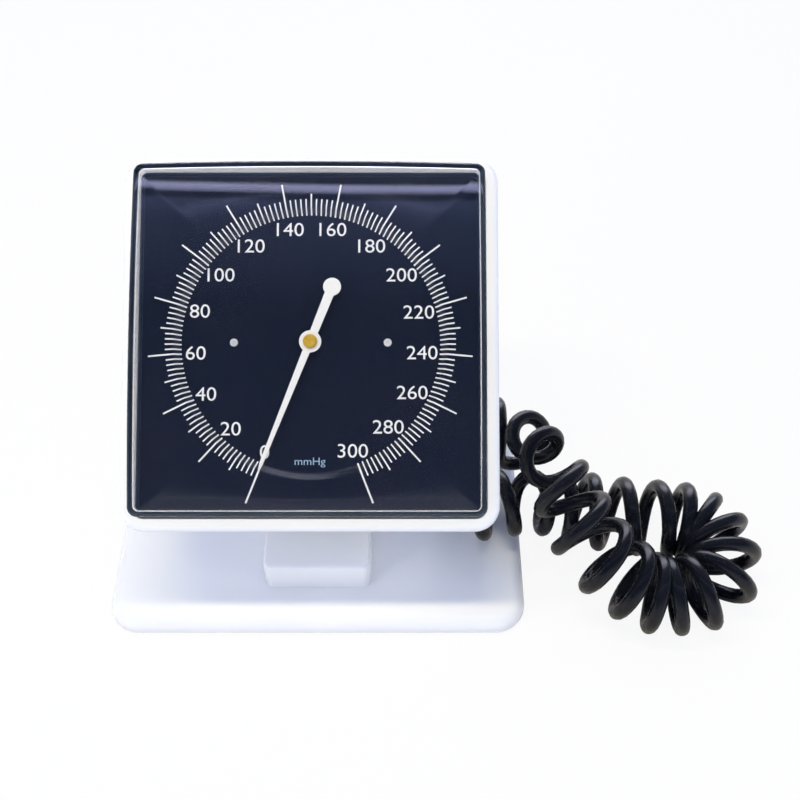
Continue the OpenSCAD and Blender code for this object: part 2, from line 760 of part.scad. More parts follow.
module hose_barb() {
    color("#c4c7cc") on_face() translate([barb_x, barb_y, 0]) difference() {
        union() {
            rod(2, rear_z + 2.4, rear_z + 8);
            rod(4, cover_z - 3, rear_z + 2.5);
            translate([0, 0, cover_z - 3.6]) cylinder(r = 7, h = 3.6, $fn = 6);
            for (i = [0:2]) translate([0, 0, cover_z - 6 - 2.4*i]) cylinder(r1 = 2.3, r2 = 2.9, h = 2.4);
            rod(2.3, cover_z - 11.4, cover_z - 3.5);
        }
        rod(1.2, -60, 0);
    }
}

module barb_nut() {
    color("#c4c7cc") on_face() translate([barb_x, barb_y, rear_z]) difference() {
        cylinder(r = 7, h = 2.2, $fn = 6);
        rod(4 + fit, -1, 3);
    }
}

module inner_tube() {
    mid_z = capsule_z - capsule_t/2;
    stem_end = capsule_stem_r*cos(45);
    route = [[stem_end, -stem_end, mid_z], [28, -28, mid_z], [33, -31.8, -31], [40, -35.5, -28],
        [48, -39, -24.6], [55, -42, -22.6], [60, -44.2, -22.8], [61.7, -44.9, -25],
        [barb_x, barb_y, -28], [barb_x, barb_y, rear_z + 8]];
    color("#5a2d22") on_face() tube(route, 0, len(route) - 1, 8, 2.6, [0, 1, 0]);
}

module hose_sleeve() {
    color("#1a1a1c") on_face() translate([barb_x, barb_y, 0]) difference() {
        union() {
            rod(5.2, cover_z - 12, cover_z - 3.7);
            translate([0, 0, sleeve_z0]) cylinder(r1 = 4.3, r2 = 5.2, h = 10.1, $fn = 64);
        }
        rod(hose_d/2 + fit, -80, 0);
    }
}

module hose_lead() {
    color("#15151a") tube(lead_route, 0, len(lead_route) - 1, tube_n, hose_d/2, [0, 1, 0]);
}

module hose_coil_front() {
    color("#15151a") tube(coil_route, 0, coil_joint, fat_n);
}

module hose_coil_rear() {
    color("#15151a") tube(coil_route, coil_joint, len(coil_route) - 1, fat_n);
}

module hose_tail() {
    color("#15151a") tube(tail_route, 0, len(tail_route) - 1, tube_n, hose_d/2, [0, 1, 0]);
}

// Connector for the cuff's tube, which pushes over its nipple
module hose_connector() {
    color("#c4c7cc") translate(tail_route[len(tail_route) - 1]) rotate([0, -90, 0]) difference() {
        union() {
            rod(connector_r, 0, connector_l - nipple_l - 6);
            rod(3.6, connector_l - nipple_l - 6 - small, connector_l - nipple_l);
            rod(nipple_r, connector_l - nipple_l - small, connector_l);
        }
        rod(1.2, -1, connector_l + 1);
    }
}

base_shell();
base_floor();
ballast_plate();
base_pad();
base_screws();
pedestal();
pedestal_screws();
hinge_pin();
hinge_nut();
friction_washers();
front_housing();
lens_cover();
lens_gasket();
dial_plate();
dial_screws();
dial_posts();
rear_cover();
rear_cover_screws();
hinge_bracket();
bracket_screws();
chassis_plate();
chassis_screws();
movement_front_plate();
movement_back_plate();
movement_pillars();
capsule_studs();
capsule_plate();
rocker_bearings();
capsule();
push_pin();
rocker_shaft();
sector_gear();
sector_arbor();
pinion();
pinion_arbor();
hairspring();
pointer();
pointer_cap();
hose_barb();
barb_nut();
inner_tube();
hose_sleeve();
hose_lead();
hose_coil_front();
hose_coil_rear();
hose_tail();
hose_connector();
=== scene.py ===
# Desk aneroid sphygmomanometer: the looks of a square dial head on a flat stand, with a coiled air hose.
# Sizes are millimetres in the source and metres in Blender. The head's pieces are modelled in the face
# frame: x to the reader's right, y up the face, z out towards the reader, 0 at the housing's front.
import math

import bmesh
import bpy
from mathutils import Matrix, Vector


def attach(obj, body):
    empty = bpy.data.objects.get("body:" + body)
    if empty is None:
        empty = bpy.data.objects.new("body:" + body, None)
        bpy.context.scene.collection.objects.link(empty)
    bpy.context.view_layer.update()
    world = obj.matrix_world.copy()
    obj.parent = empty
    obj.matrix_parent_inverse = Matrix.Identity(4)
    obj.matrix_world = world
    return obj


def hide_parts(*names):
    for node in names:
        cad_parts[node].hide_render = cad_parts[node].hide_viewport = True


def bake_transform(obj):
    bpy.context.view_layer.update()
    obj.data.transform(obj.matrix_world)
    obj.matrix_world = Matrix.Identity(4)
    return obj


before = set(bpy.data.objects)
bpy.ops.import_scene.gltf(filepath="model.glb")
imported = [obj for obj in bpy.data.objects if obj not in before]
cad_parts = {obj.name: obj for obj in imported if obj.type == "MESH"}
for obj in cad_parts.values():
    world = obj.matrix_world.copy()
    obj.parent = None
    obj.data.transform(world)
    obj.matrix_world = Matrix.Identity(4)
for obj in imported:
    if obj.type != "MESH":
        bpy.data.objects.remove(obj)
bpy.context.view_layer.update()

MM = 0.001

# ---- Sizes, as the construction has them ----
TILT = math.radians(55)
HINGE_Y, HINGE_Z = -7, 42
HINGE_BACK, HINGE_DROP = 52, 62
HEAD_W, HEAD_R, HEAD_TAPER, HEAD_DEPTH = 164, 11, 5, 38
WALL, FRONT_EDGE, FRONT_BAND = 2.6, 2.5, 8
LENS_W, LENS_R, LENS_CROWN, LENS_DOME_R, LENS_T = 151, 4, 21.5, 700, 2.2
LENS_GAP = 0.9
LEDGE_Z, LEDGE_T, LEDGE_W, LEDGE_R = -2.6, 2.4, 139, 2
GASKET_T = 1
DIAL_W, DIAL_R, DIAL_Z, DIAL_T = 146, 3, -0.6, 1
DISC_R, BEVEL_R, SUNK_Z = 57, 59.6, -3.4
SCREW_X = 33.5
SCALE_GAP = 21.4
SCALE_MAX = 300
POINTER_L, TAIL_L, TAIL_R, POINTER_Z, POINTER_T = 59.6, 25.7, 3.9, 0.4, 0.7
COVER_T, COVER_SCREW = 2.5, 69
BARB_X, BARB_Y = 62, -45
BRACKET_X, BRACKET_Y = 23, (-51, -69)
BASE_W, BASE_D, BASE_R, BASE_EDGE = 196, 124, 15, 6
PAD_T, TOP_Z, SKIN, RIM = 1, 9, 2.6, 5
PEDESTAL_W, PEDESTAL_Y, PEDESTAL_Z = 50, (-42, 14), 26.5
NECK_W, NECK_T, KNUCKLE_R, PIN_R = 30, 16, 8, 2.5
EAR_GAP, EAR_T, EAR_R, BRACKET_T = 0.9, 4, 7, 2.5
HOSE_R = 3.5

REAR_Z = -HEAD_DEPTH
COVER_Z = REAR_Z - COVER_T
SWEEP = 360 - 2*SCALE_GAP

BASE_FRAME = Matrix.Scale(MM, 4)


def face_frame():
    """Matrix from the face frame, in millimetres, to the world, in metres"""
    c, s = math.cos(TILT), math.sin(TILT)
    origin_y = HINGE_Y - HINGE_BACK*c + HINGE_DROP*s
    origin_z = HINGE_Z + HINGE_BACK*s + HINGE_DROP*c
    turn = Matrix(((1, 0, 0, 0), (0, s, -c, origin_y), (0, c, s, origin_z), (0, 0, 0, 1)))
    return BASE_FRAME @ turn


FACE_FRAME = face_frame()


# ---- Materials ----
class Nodes:
    """Short hand for building a material's node tree"""

    def __init__(self, name):
        self.material = bpy.data.materials.new(name)
        self.material.use_nodes = True
        self.tree = self.material.node_tree
        self.shader = self.tree.nodes["Principled BSDF"]
        self.coords = self.add("ShaderNodeTexCoord").outputs["Object"]

    def add(self, kind, **values):
        node = self.tree.nodes.new(kind)
        for key, value in values.items():
            setattr(node, key, value)
        return node

    def link(self, a, b):
        self.tree.links.new(a, b)

    def noise(self, scale, detail=4.0, stretch=None):
        node = self.add("ShaderNodeTexNoise")
        node.inputs["Scale"].default_value = scale
        node.inputs["Detail"].default_value = detail
        source = self.coords
        if stretch:
            mapping = self.add("ShaderNodeMapping")
            mapping.inputs["Scale"].default_value = stretch
            self.link(source, mapping.inputs["Vector"])
            source = mapping.outputs["Vector"]
        self.link(source, node.inputs["Vector"])
        return node.outputs["Fac"]

    def spread(self, fac, low, high, a=0.3, b=0.7):
        """Maps a noise value from a..b to low..high"""
        node = self.add("ShaderNodeMapRange")
        for key, value in (("From Min", a), ("From Max", b), ("To Min", low), ("To Max", high)):
            node.inputs[key].default_value = value
        self.link(fac, node.inputs["Value"])
        return node.outputs["Result"]

    def blend(self, fac, first, second, a=0.35, b=0.65):
        node = self.add("ShaderNodeMix", data_type="RGBA")
        node.inputs["A"].default_value = (*first, 1)
        node.inputs["B"].default_value = (*second, 1)
        self.link(self.spread(fac, 0, 1, a, b), node.inputs["Factor"])
        return node.outputs["Result"]

    def bump(self, height, strength, distance):
        node = self.add("ShaderNodeBump")
        node.inputs["Strength"].default_value = strength
        node.inputs["Distance"].default_value = distance
        self.link(height, node.inputs["Height"])
        self.link(node.outputs["Normal"], self.shader.inputs["Normal"])

    def set(self, **values):
        for key, value in values.items():
            self.shader.inputs[key.replace("_", " ")].default_value = value


def finish(name, colours, rough, patch, grain, grain_depth, stretch=None, **values):
    """Surface with a colour that drifts, a roughness that varies and a fine grain.
    patch and grain are noise scales per metre, grain_depth is in metres."""
    n = Nodes(name)
    drift = n.noise(patch, 3)
    n.link(n.blend(drift, *colours), n.shader.inputs["Base Color"])
    fine = n.noise(grain, 6, stretch)
    n.link(n.spread(n.noise(patch*7, 5, stretch), *rough), n.shader.inputs["Roughness"])
    n.bump(fine, 0.35, grain_depth)
    n.set(**values)
    return n.material


def make_materials():
    metal = {"Metallic": 1.0}
    steel = (1, 1, 12)
    return {
        "white_plastic": finish("white_abs", ((0.83, 0.84, 0.87), (0.87, 0.875, 0.9)), (0.16, 0.26),
                                14, 900, 0.00002, IOR=1.53, Coat_Weight=0.15, Coat_Roughness=0.08),
        "grey_plastic": finish("grey_plastic", ((0.42, 0.43, 0.45), (0.5, 0.51, 0.53)), (0.4, 0.55),
                               20, 2200, 0.00006),
        "black_rubber": finish("black_rubber", ((0.018, 0.018, 0.02), (0.035, 0.034, 0.034)), (0.55, 0.8),
                               60, 2600, 0.00008),
        # Dark seal rubber, partly its own colour and partly painted shade: its navy tint paints the bluish
        # shade in the gap around the lens.
        "seal_rubber_painted_gap_shade": finish("seal_rubber_painted_gap_shade", ((0.035, 0.055, 0.1), (0.05, 0.075, 0.13)), (0.5, 0.7),
                              60, 2600, 0.00004, Specular_IOR_Level=0.2),
        "hose_rubber": finish("hose_vinyl", ((0.003, 0.004, 0.008), (0.006, 0.007, 0.012)), (0.18, 0.3),
                              70, 1500, 0.00003, IOR=1.45, Specular_IOR_Level=0.35),
        "inner_rubber": finish("inner_rubber", ((0.13, 0.035, 0.022), (0.19, 0.055, 0.035)), (0.5, 0.7),
                               60, 2600, 0.00006),
        "dial_paint": finish("dial_enamel", ((0.0035, 0.007, 0.017), (0.006, 0.008, 0.019)), (0.15, 0.22),
                             26, 1800, 0.000001, IOR=1.5, Specular_IOR_Level=0.9),
        "print_white": finish("print_white", ((0.86, 0.87, 0.9), (0.92, 0.925, 0.94)), (0.4, 0.5),
                              60, 4000, 0.000004),
        "print_blue": finish("print_blue", ((0.3, 0.45, 0.66), (0.36, 0.52, 0.74)), (0.4, 0.5),
                             60, 4000, 0.000004),
        "pointer_paint": finish("pointer_enamel", ((0.93, 0.935, 0.95), (0.96, 0.96, 0.97)), (0.25, 0.38),
                                40, 3000, 0.00001),
        "screw_white": finish("screw_enamel", ((0.72, 0.74, 0.78), (0.86, 0.87, 0.9)), (0.3, 0.45),
                              300, 4000, 0.00001),
        "zinc_steel": finish("zinc_steel", ((0.6, 0.62, 0.65), (0.72, 0.73, 0.74)), (0.2, 0.36),
                             220, 5000, 0.00001, steel, **metal),
        "ballast_steel": finish("ballast_steel", ((0.2, 0.21, 0.23), (0.34, 0.32, 0.31)), (0.35, 0.6),
                                50, 1200, 0.00004, **metal),
        "brass": finish("movement_brass", ((0.66, 0.46, 0.17), (0.78, 0.57, 0.25)), (0.18, 0.34),
                        120, 4000, 0.00001, (1, 14, 1), **metal),
        "cap_brass": finish("cap_brass", ((0.82, 0.5, 0.05), (0.92, 0.62, 0.09)), (0.35, 0.5),
                            500, 6000, 0.000012, Metallic=0.45),
        "bronze": finish("capsule_bronze", ((0.5, 0.3, 0.14), (0.64, 0.42, 0.2)), (0.22, 0.4),
                         90, 3000, 0.00001, **metal),
        "nickel": finish("nickel", ((0.62, 0.6, 0.56), (0.74, 0.72, 0.68)), (0.12, 0.24),
                         260, 5000, 0.000008, **metal),
        "friction_disc": finish("friction_disc", ((0.2, 0.12, 0.06), (0.32, 0.2, 0.1)), (0.6, 0.8),
                                400, 5000, 0.00004),
        "clear_plastic": clear_plastic(),
    }


def clear_plastic():
    """Clear acrylic, with faint smears in its gloss"""
    n = Nodes("clear_acrylic")
    n.link(n.blend(n.noise(9, 2), (0.965, 0.97, 1.0), (0.985, 0.987, 1.0)), n.shader.inputs["Base Color"])
    n.link(n.spread(n.noise(40, 4), 0.0, 0.03), n.shader.inputs["Roughness"])
    n.set(IOR=1.49, Transmission_Weight=1.0)
    return n.material


# ---- Shapes ----
def arc(x, z, r, start, end, steps):
    """Points of an arc, as (x, z) pairs, with angles in degrees"""
    turns = [math.radians(start + (end - start)*i/steps) for i in range(steps + 1)]
    return [(x + r*math.cos(a), z + r*math.sin(a)) for a in turns]


def outline(w, h, r, seg=10, edge=1):
    """Rounded rectangle, anticlockwise, with seg steps a corner and edge steps a side"""
    points = []
    centres = ((1, 1), (-1, 1), (-1, -1), (1, -1))
    for k, (sx, sy) in enumerate(centres):
        corner = arc(sx*(w/2 - r), sy*(h/2 - r), r, 90*k, 90*k + 90, seg)
        nx, ny = centres[(k + 1) % 4]
        a = math.radians(90*k + 90)
        target = (nx*(w/2 - r) + r*math.cos(a), ny*(h/2 - r) + r*math.sin(a))
        last = corner[-1]
        points += corner
        points += [(last[0] + (target[0] - last[0])*i/edge, last[1] + (target[1] - last[1])*i/edge)
                   for i in range(1, edge)]
    return points


def rings(w, h, r, profile, seg=10, edge=1, least=0.3):
    """One ring of points for each (inset, z) of a profile"""
    return [[(x, y, z) for x, y in outline(w - 2*inset, h - 2*inset, max(r - inset, least), seg, edge)]
            for inset, z in profile]


def lathe(profile, steps=64):
    """One ring of points for each (radius, z) of a profile"""
    turns = [2*math.pi*i/steps for i in range(steps)]
    return [[(r*math.cos(a), r*math.sin(a), z) for a in turns] for r, z in profile]


class Shape:
    """Collects points and faces of a piece, in millimetres"""

    def __init__(self):
        self.bm = bmesh.new()

    def loft(self, loops, place=Matrix.Identity(4), closed=False):
        """Skin over rings of equally many points, capped at both ends or closed on itself"""
        grid = [[self.bm.verts.new(place @ Vector(p)) for p in loop] for loop in loops]
        count = len(grid[0])
        pairs = list(zip(grid, grid[1:]))
        if closed:
            pairs.append((grid[-1], grid[0]))
        for low, high in pairs:
            for i in range(count):
                j = (i + 1) % count
                self.bm.faces.new((low[i], low[j], high[j], high[i]))
        if not closed:
            self.bm.faces.new(grid[0][::-1])
            self.bm.faces.new(grid[-1])

    def prism(self, points, z0, z1, place=Matrix.Identity(4)):
        self.loft([[(x, y, z0) for x, y in points], [(x, y, z1) for x, y in points]], place)

    def box(self, low, high, place=Matrix.Identity(4)):
        (x0, y0, z0), (x1, y1, z1) = low, high
        self.prism([(x0, y0), (x1, y0), (x1, y1), (x0, y1)], z0, z1, place)

    def finish(self, name, frame_matrix):
        """Object with its mesh in the world's metres"""
        bmesh.ops.transform(self.bm, matrix=frame_matrix, verts=self.bm.verts)
        bmesh.ops.recalc_face_normals(self.bm, faces=self.bm.faces)
        mesh = bpy.data.meshes.new(name)
        self.bm.to_mesh(mesh)
        self.bm.free()
        obj = bpy.data.objects.new(name, mesh)
        bpy.context.scene.collection.objects.link(obj)
        return obj


def bake(obj):
    """Applies an object's modifiers to its mesh"""
    graph = bpy.context.evaluated_depsgraph_get()
    mesh = bpy.data.meshes.new_from_object(obj.evaluated_get(graph))
    old = obj.data
    obj.modifiers.clear()
    obj.data = mesh
    bpy.data.meshes.remove(old)


def cut(obj, tool, operation="DIFFERENCE"):
    """Cuts a tool's shape out of an object, or joins it, and deletes the tool"""
    modifier = obj.modifiers.new("cut", "BOOLEAN")
    modifier.object = tool
    modifier.operation = operation
    modifier.solver = "EXACT"
    modifier.use_self = True
    bake(obj)
    bpy.data.objects.remove(tool)


def soften(obj, width, segments=2, angle=35):
    """Small rounded bevel on the sharp edges"""
    modifier = obj.modifiers.new("bevel", "BEVEL")
    modifier.width = width*MM
    modifier.segments = segments
    modifier.limit_method = "ANGLE"
    modifier.angle_limit = math.radians(angle)
    modifier.harden_normals = False
    bake(obj)


def dress(obj, material, body, *nodes, slot=None, sharp=32):
    """Smooth shading, material, body and the nodes that the piece stands for"""
    obj.data.materials.clear()
    obj.data.materials.append(material)
    obj.data.shade_smooth()
    obj.data.set_sharp_from_angle(angle=math.radians(sharp))
    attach(obj, body)
    if nodes:
        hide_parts(*nodes)
    return obj


# ---- Hose ----
# Routes in millimetres, as the construction has them. On the coil the fourth number is the outer
# radius of the coil, and the fifth the advance of one turn along the route.
LEAD_START = (62, 6.872, 51.830), (62, 12.952, 43.147)
LEAD_ROUTE = [*LEAD_START, (62, 15.5, 39.5), (63, 19.5, 33.8), (66, 23.5, 28.6), (71, 27, 23.8),
              (77, 29, 19.5), (83, 30, 16.5)]
COIL_ROUTE = [
    (81, 36, 28.2, 18.5, 13), (90, 36, 28.4, 18.5, 18.5), (98.5, 31, 31, 16.5, 23),
    (103.5, 17, 47, 12, 26), (109, -6, 58, 14.5, 23.5), (115, -20, 54, 16.5, 18),
    (123.5, -33, 44.5, 18.3, 18.5), (133, -41.5, 34.5, 18.8, 19), (146, -48.5, 24.5, 19, 14),
    (158, -52, 19.6, 19, 10), (170, -52, 19.4, 19, 11.5), (180.5, -49.5, 19.4, 19, 13),
    (188.5, -42, 19.4, 19, 12.5), (191, -31, 19.4, 19, 12), (188.5, -20, 19.4, 19, 9.5),
    (180.5, -12.5, 19.4, 19, 8.8), (169, -10, 19.4, 19, 12.5), (156, -9, 19.4, 19, 18.5),
    (142, -7, 19.4, 19, 17), (129, -4.5, 19.6, 18.6, 14.5), (117, -3.2, 21.2, 16.8, 14),
    (108, -3.5, 23.6, 16, 16), (99, -4.5, 26.6, 16.2, 17), (90, -5.5, 27.6, 17.6, 16.5),
    (80, -6.5, 27.4, 18, 15), (70, -7, 26.4, 17, 13.5)]
TAIL_ROUTE = [(71, 6, 28), (70, 6.5, 24), (68.5, 9.5, 18.5), (64, 14, 14.2), (56, 19, 12.6),
              (45, 25, 12.6), (32, 31, 12.6), (19, 35.5, 13), (9, 37.3, 14.2), (2, 37.5, 14.6),
              (-6, 37.5, 14.6)]
COIL_START, COIL_END = 63, 353     # angles of the coil's two ends around its route, in degrees
COIL_TURNS = 22                    # whole turns, counted to the nearest
TURN_POINTS = 24


def catmull(route, steps):
    """Smooth curve through a route's points, with every number of a point carried along"""
    ends = [[2*a - b for a, b in zip(route[0], route[1])], *route,
            [2*a - b for a, b in zip(route[-1], route[-2])]]
    curve = []
    for p0, p1, p2, p3 in zip(ends, ends[1:], ends[2:], ends[3:]):
        for k in range(steps):
            t = k/steps
            curve.append([0.5*(2*b + (c - a)*t + (2*a - 5*b + 4*c - d)*t*t + (3*b - a - 3*c + d)*t**3)
                          for a, b, c, d in zip(p0, p1, p2, p3)])
    curve.append(list(route[-1]))
    return curve


def coil_points():
    """The coil's turns, wound around its route"""
    axis = catmull(COIL_ROUTE, 40)
    spots = [Vector(p[:3]) for p in axis]
    winding = [0.0]
    for i in range(1, len(spots)):
        pitch = (axis[i][4] + axis[i - 1][4])/2
        winding.append(winding[-1] + (spots[i] - spots[i - 1]).length/pitch)
    turn_total = COIL_TURNS + (COIL_END - COIL_START)/360 - 1
    scale = turn_total/winding[-1]
    points = []
    count = int(turn_total*TURN_POINTS)
    i = 0
    for k in range(count + 1):
        turns = turn_total*k/count
        while i < len(winding) - 2 and winding[i + 1]*scale < turns:
            i += 1
        share = (turns/scale - winding[i])/(winding[i + 1] - winding[i])
        centre = spots[i].lerp(spots[i + 1], share)
        before, after = max(i - 6, 0), min(i + 7, len(spots) - 1)
        along = (spots[after] - spots[before]).normalized()
        side = along.cross(Vector((0, 0, 1))).normalized()
        down = along.cross(side)
        radius = axis[i][3] + (axis[i + 1][3] - axis[i][3])*share - HOSE_R
        angle = math.radians(COIL_START) + 2*math.pi*turns
        points.append(centre + radius*(math.cos(angle)*side + math.sin(angle)*down))
    return points


def spline(name, points, radius):
    """Curve object of one open spline with a round section"""
    data = bpy.data.curves.new(name, "CURVE")
    data.dimensions = "3D"
    data.bevel_depth = radius
    data.bevel_resolution = 6
    data.use_fill_caps = True
    line = data.splines.new("POLY")
    line.points.add(len(points) - 1)
    for target, point in zip(line.points, points):
        target.co = (*point, 1)
    line.use_smooth = True
    obj = bpy.data.objects.new(name, data)
    bpy.context.scene.collection.objects.link(obj)
    return obj


def tube_mesh(name, points, radius, sides=20):
    """Round tube swept along points in metres, with a ring at each of them"""
    shape = Shape()
    loops = []
    reference = Vector((1, 0, 0))
    for i, point in enumerate(points):
        along = (points[min(i + 1, len(points) - 1)] - points[max(i - 1, 0)]).normalized()
        u = (reference - along*reference.dot(along)).normalized()
        v = along.cross(u)
        loops.append([point + radius*(math.cos(a)*u + math.sin(a)*v)
                      for a in (2*math.pi*k/sides for k in range(sides))])
    shape.loft(loops)
    return shape.finish(name, Matrix.Identity(4))


def to_metres(points):
    return [Vector(p)*MM for p in points]


def make_hose(look):
    """The hose: a lead down from the head, then the coil with its tail and connector"""
    lead_path = to_metres(catmull(LEAD_ROUTE, 5))
    lead = tube_mesh("hose_lead_tube", lead_path, HOSE_R*MM)
    lead.data.materials.append(look["hose_rubber"])
    lead.data.shade_smooth()
    lead.data.set_sharp_from_angle(angle=math.radians(50))
    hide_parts("hose_lead")
    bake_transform(lead)

    coil = coil_points()
    tail = [Vector(p) for p in catmull(TAIL_ROUTE, 5)]
    run = [Vector(LEAD_ROUTE[-1])] + coil[1:-1] + tail
    path = to_metres(run)
    hose = spline("hose_coil", path, HOSE_R*MM)
    hose.data.materials.append(look["hose_rubber"])
    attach(hose, "base")
    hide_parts("hose_coil_front", "hose_coil_rear", "hose_tail")
    connector = make_connector(look)


def make_connector(look):
    """Metal connector with a grip ring, a shoulder and a barbed nipple"""
    grooves = [(5.2 - 0.45*(i % 2), 2.4 + 0.7*i) for i in range(13)]
    profile = [(1.2, 1.5), (1.2, 0), (4.4, 0), (5.2, 0.8), (5.2, 2.2), *grooves, (5.2, 11.2), (4.8, 12),
               (3.6, 12), (3.6, 17.6), (3.2, 18), (2.1, 18), (2.1, 19.5), (2.4, 20), (2.1, 22), (2.1, 22.3),
               (2.4, 22.8), (2.1, 24.8), (2.1, 25.1), (2.4, 25.6), (2.0, 28), (1.2, 28), (1.2, 26)]
    place = Matrix.Translation(TAIL_ROUTE[-1]) @ Matrix.Rotation(-math.pi/2, 4, "Y")
    shape = Shape()
    shape.loft(lathe(profile, 48), place)
    obj = shape.finish("hose_connector_body", BASE_FRAME)
    return dress(obj, look["nickel"], "base", "hose_connector", slot="nickel", sharp=25)


# ---- Camera, light and stage ----
CAMERA_AT = (0.0389, -0.3384, 0.5008)
CAMERA_TILT = math.radians(40)
LENS_MM = 53.7


def make_camera():
    data = bpy.data.cameras.new("camera")
    data.sensor_width = 36
    data.lens = LENS_MM
    camera = bpy.data.objects.new("camera", data)
    camera.location = CAMERA_AT
    camera.rotation_euler = (CAMERA_TILT, 0, 0)
    bpy.context.scene.collection.objects.link(camera)
    bpy.context.scene.camera = camera


def area_light(name, at, turn, size, power, colour):
    """Flat lamp that shines along its own -z and has no mirror image; turn is in degrees"""
    data = bpy.data.lights.new(name, "AREA")
    data.shape = "RECTANGLE"
    data.size, data.size_y = size
    data.energy = power
    data.color = colour
    light = bpy.data.objects.new(name, data)
    light.location = at
    light.rotation_euler = [math.radians(angle) for angle in turn]
    light.visible_glossy = False
    light.visible_transmission = False
    bpy.context.scene.collection.objects.link(light)


def make_lights():
    """A long strip overhead and soft lamps all round; the world's painted reflections stand for their mirror
    images
    """
    area_light("overhead_strip", (-0.17, -0.075, 1.15), (0, -9, 0), (0.8, 0.07), 7.8, (1, 0.9, 0.58))
    area_light("left_lamp", (-1.2, -0.9, 0.6), (66, 0, -53), (0.7, 0.5), 7.4, (1, 0.93, 0.7))
    area_light("right_lamp", (1.3, -0.7, 0.6), (68, 0, 62), (0.7, 0.5), 4.2, (1, 0.93, 0.7))
    area_light("back_lamp", (0.35, 1.5, 0.8), (-64, 0, -13), (0.7, 0.5), 2.8, (1, 0.9, 0.62))


ON_SURFACE, IN_WORLD = 0.5, 1.5        # limits for straight_view: the world counts one bounce more
FLOOR_GLOW = 0.9                       # share of plain white in the floor where it is seen straight


def straight_view(tree, limit):
    """1 where the camera looks straight or through clear plastic, 0 after any other bounce"""
    path = tree.nodes.new("ShaderNodeLightPath")
    others = tree.nodes.new("ShaderNodeMath")
    others.operation = "SUBTRACT"
    tree.links.new(path.outputs["Ray Depth"], others.inputs[0])
    tree.links.new(path.outputs["Transmission Depth"], others.inputs[1])
    none = tree.nodes.new("ShaderNodeMath")
    none.operation = "LESS_THAN"
    none.inputs[1].default_value = limit
    tree.links.new(others.outputs[0], none.inputs[0])
    return none.outputs[0]


# Painted reflections: what the world shows in reflections only, by how far a direction looks towards
# the reader: (position, colour); 0.5 is straight up and 0 is level, towards the reader. A painted lavender
# strip just before the top, which bows away from the reader at its ends, stands in for the overhead lamp's
# mirror image, and a painted bright zone behind paints the highlight on the dial's bevel. The lamps
# themselves have no mirror image.
PAINTED_REFLECTION_STRENGTH = 6
STRIP_BOW = 0.3
PALE = (0.13, 0.135, 0.15)
DARK = (0.0035, 0.0045, 0.009)
DIM = (0.035, 0.037, 0.05)
BRIGHT = (0.8, 0.81, 0.95)
# painted reflection: the lavender stops near 0.41 paint the overhead lamp's mirror image, and BRIGHT from
# 0.9 paints the highlight on the dial's bevel
PAINTED_REFLECTION_BANDS = [(0.0, PALE), (0.12, (0.009, 0.01, 0.018)), (0.3, DARK), (0.385, (0.025, 0.031, 0.06)),
                (0.402, (0.045, 0.055, 0.105)), (0.405, DARK), (0.4115, DARK),
                (0.4135, (0.34, 0.35, 0.56)), (0.418, (0.5, 0.51, 0.78)), (0.4195, DARK), (0.5, DARK),
                (0.6, DIM), (0.8, DIM), (0.85, (0.02, 0.021, 0.03)), (0.9, BRIGHT), (1.0, BRIGHT)]
HORIZON = (0.02, 0.3)          # height of a direction at which the pale horizon ends
FILL_COLOUR, FILL_STRENGTH = (0.48, 0.61, 1.0), 0.77


